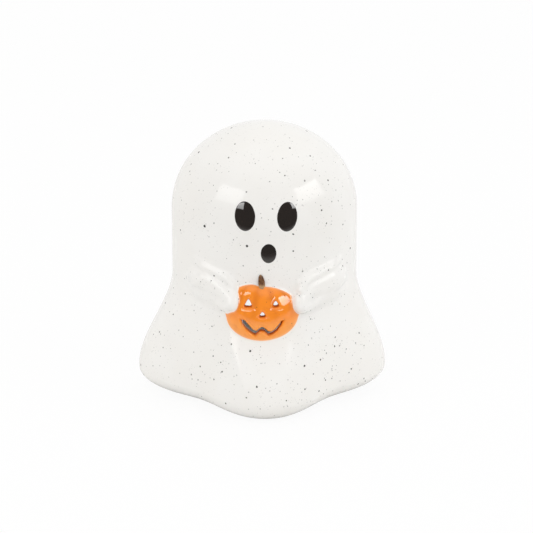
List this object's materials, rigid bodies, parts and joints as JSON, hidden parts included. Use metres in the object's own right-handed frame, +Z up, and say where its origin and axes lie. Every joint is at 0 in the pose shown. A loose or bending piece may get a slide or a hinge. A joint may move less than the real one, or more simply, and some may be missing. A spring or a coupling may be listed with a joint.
{
  "type": "ghost tealight holder",
  "caption": "Hollow glazed ceramic tealight holder shaped as a sheeted ghost with relief arms round a carved pumpkin, open at the back.",
  "frame": {"origin": "centre of the base, on the surface that the holder stands on", "axes": "+Z up, the ghost's face towards -Y, +X to the right of someone who looks at the face"},
  "size_m": [0.101, 0.0943, 0.111],
  "materials": {
    "white_glaze": "gloss",
    "orange_glaze": "gloss",
    "bronze_glaze": "gloss",
    "black_enamel": "gloss",
    "cup_aluminium": "satin",
    "white_wax": "satin",
    "tab_steel": "satin",
    "wick_cotton": "matte"
  },
  "bodies": {
    "ghost": {"ghost_body": "white_glaze", "pumpkin": "orange_glaze", "pumpkin_stem": "bronze_glaze", "left_eye": "black_enamel", "right_eye": "black_enamel", "mouth": "black_enamel"},
    "tealight": {"tealight_cup": "cup_aluminium", "tealight_wax": "white_wax", "wick_tab": "tab_steel", "tealight_wick": "wick_cotton"}
  },
  "joints": [
    {"name": "tealight_slide", "type": "slide", "parent": "ghost", "child": "tealight", "axis": [0, 1, 0], "range_m": [0, 0.07]}
  ]
}
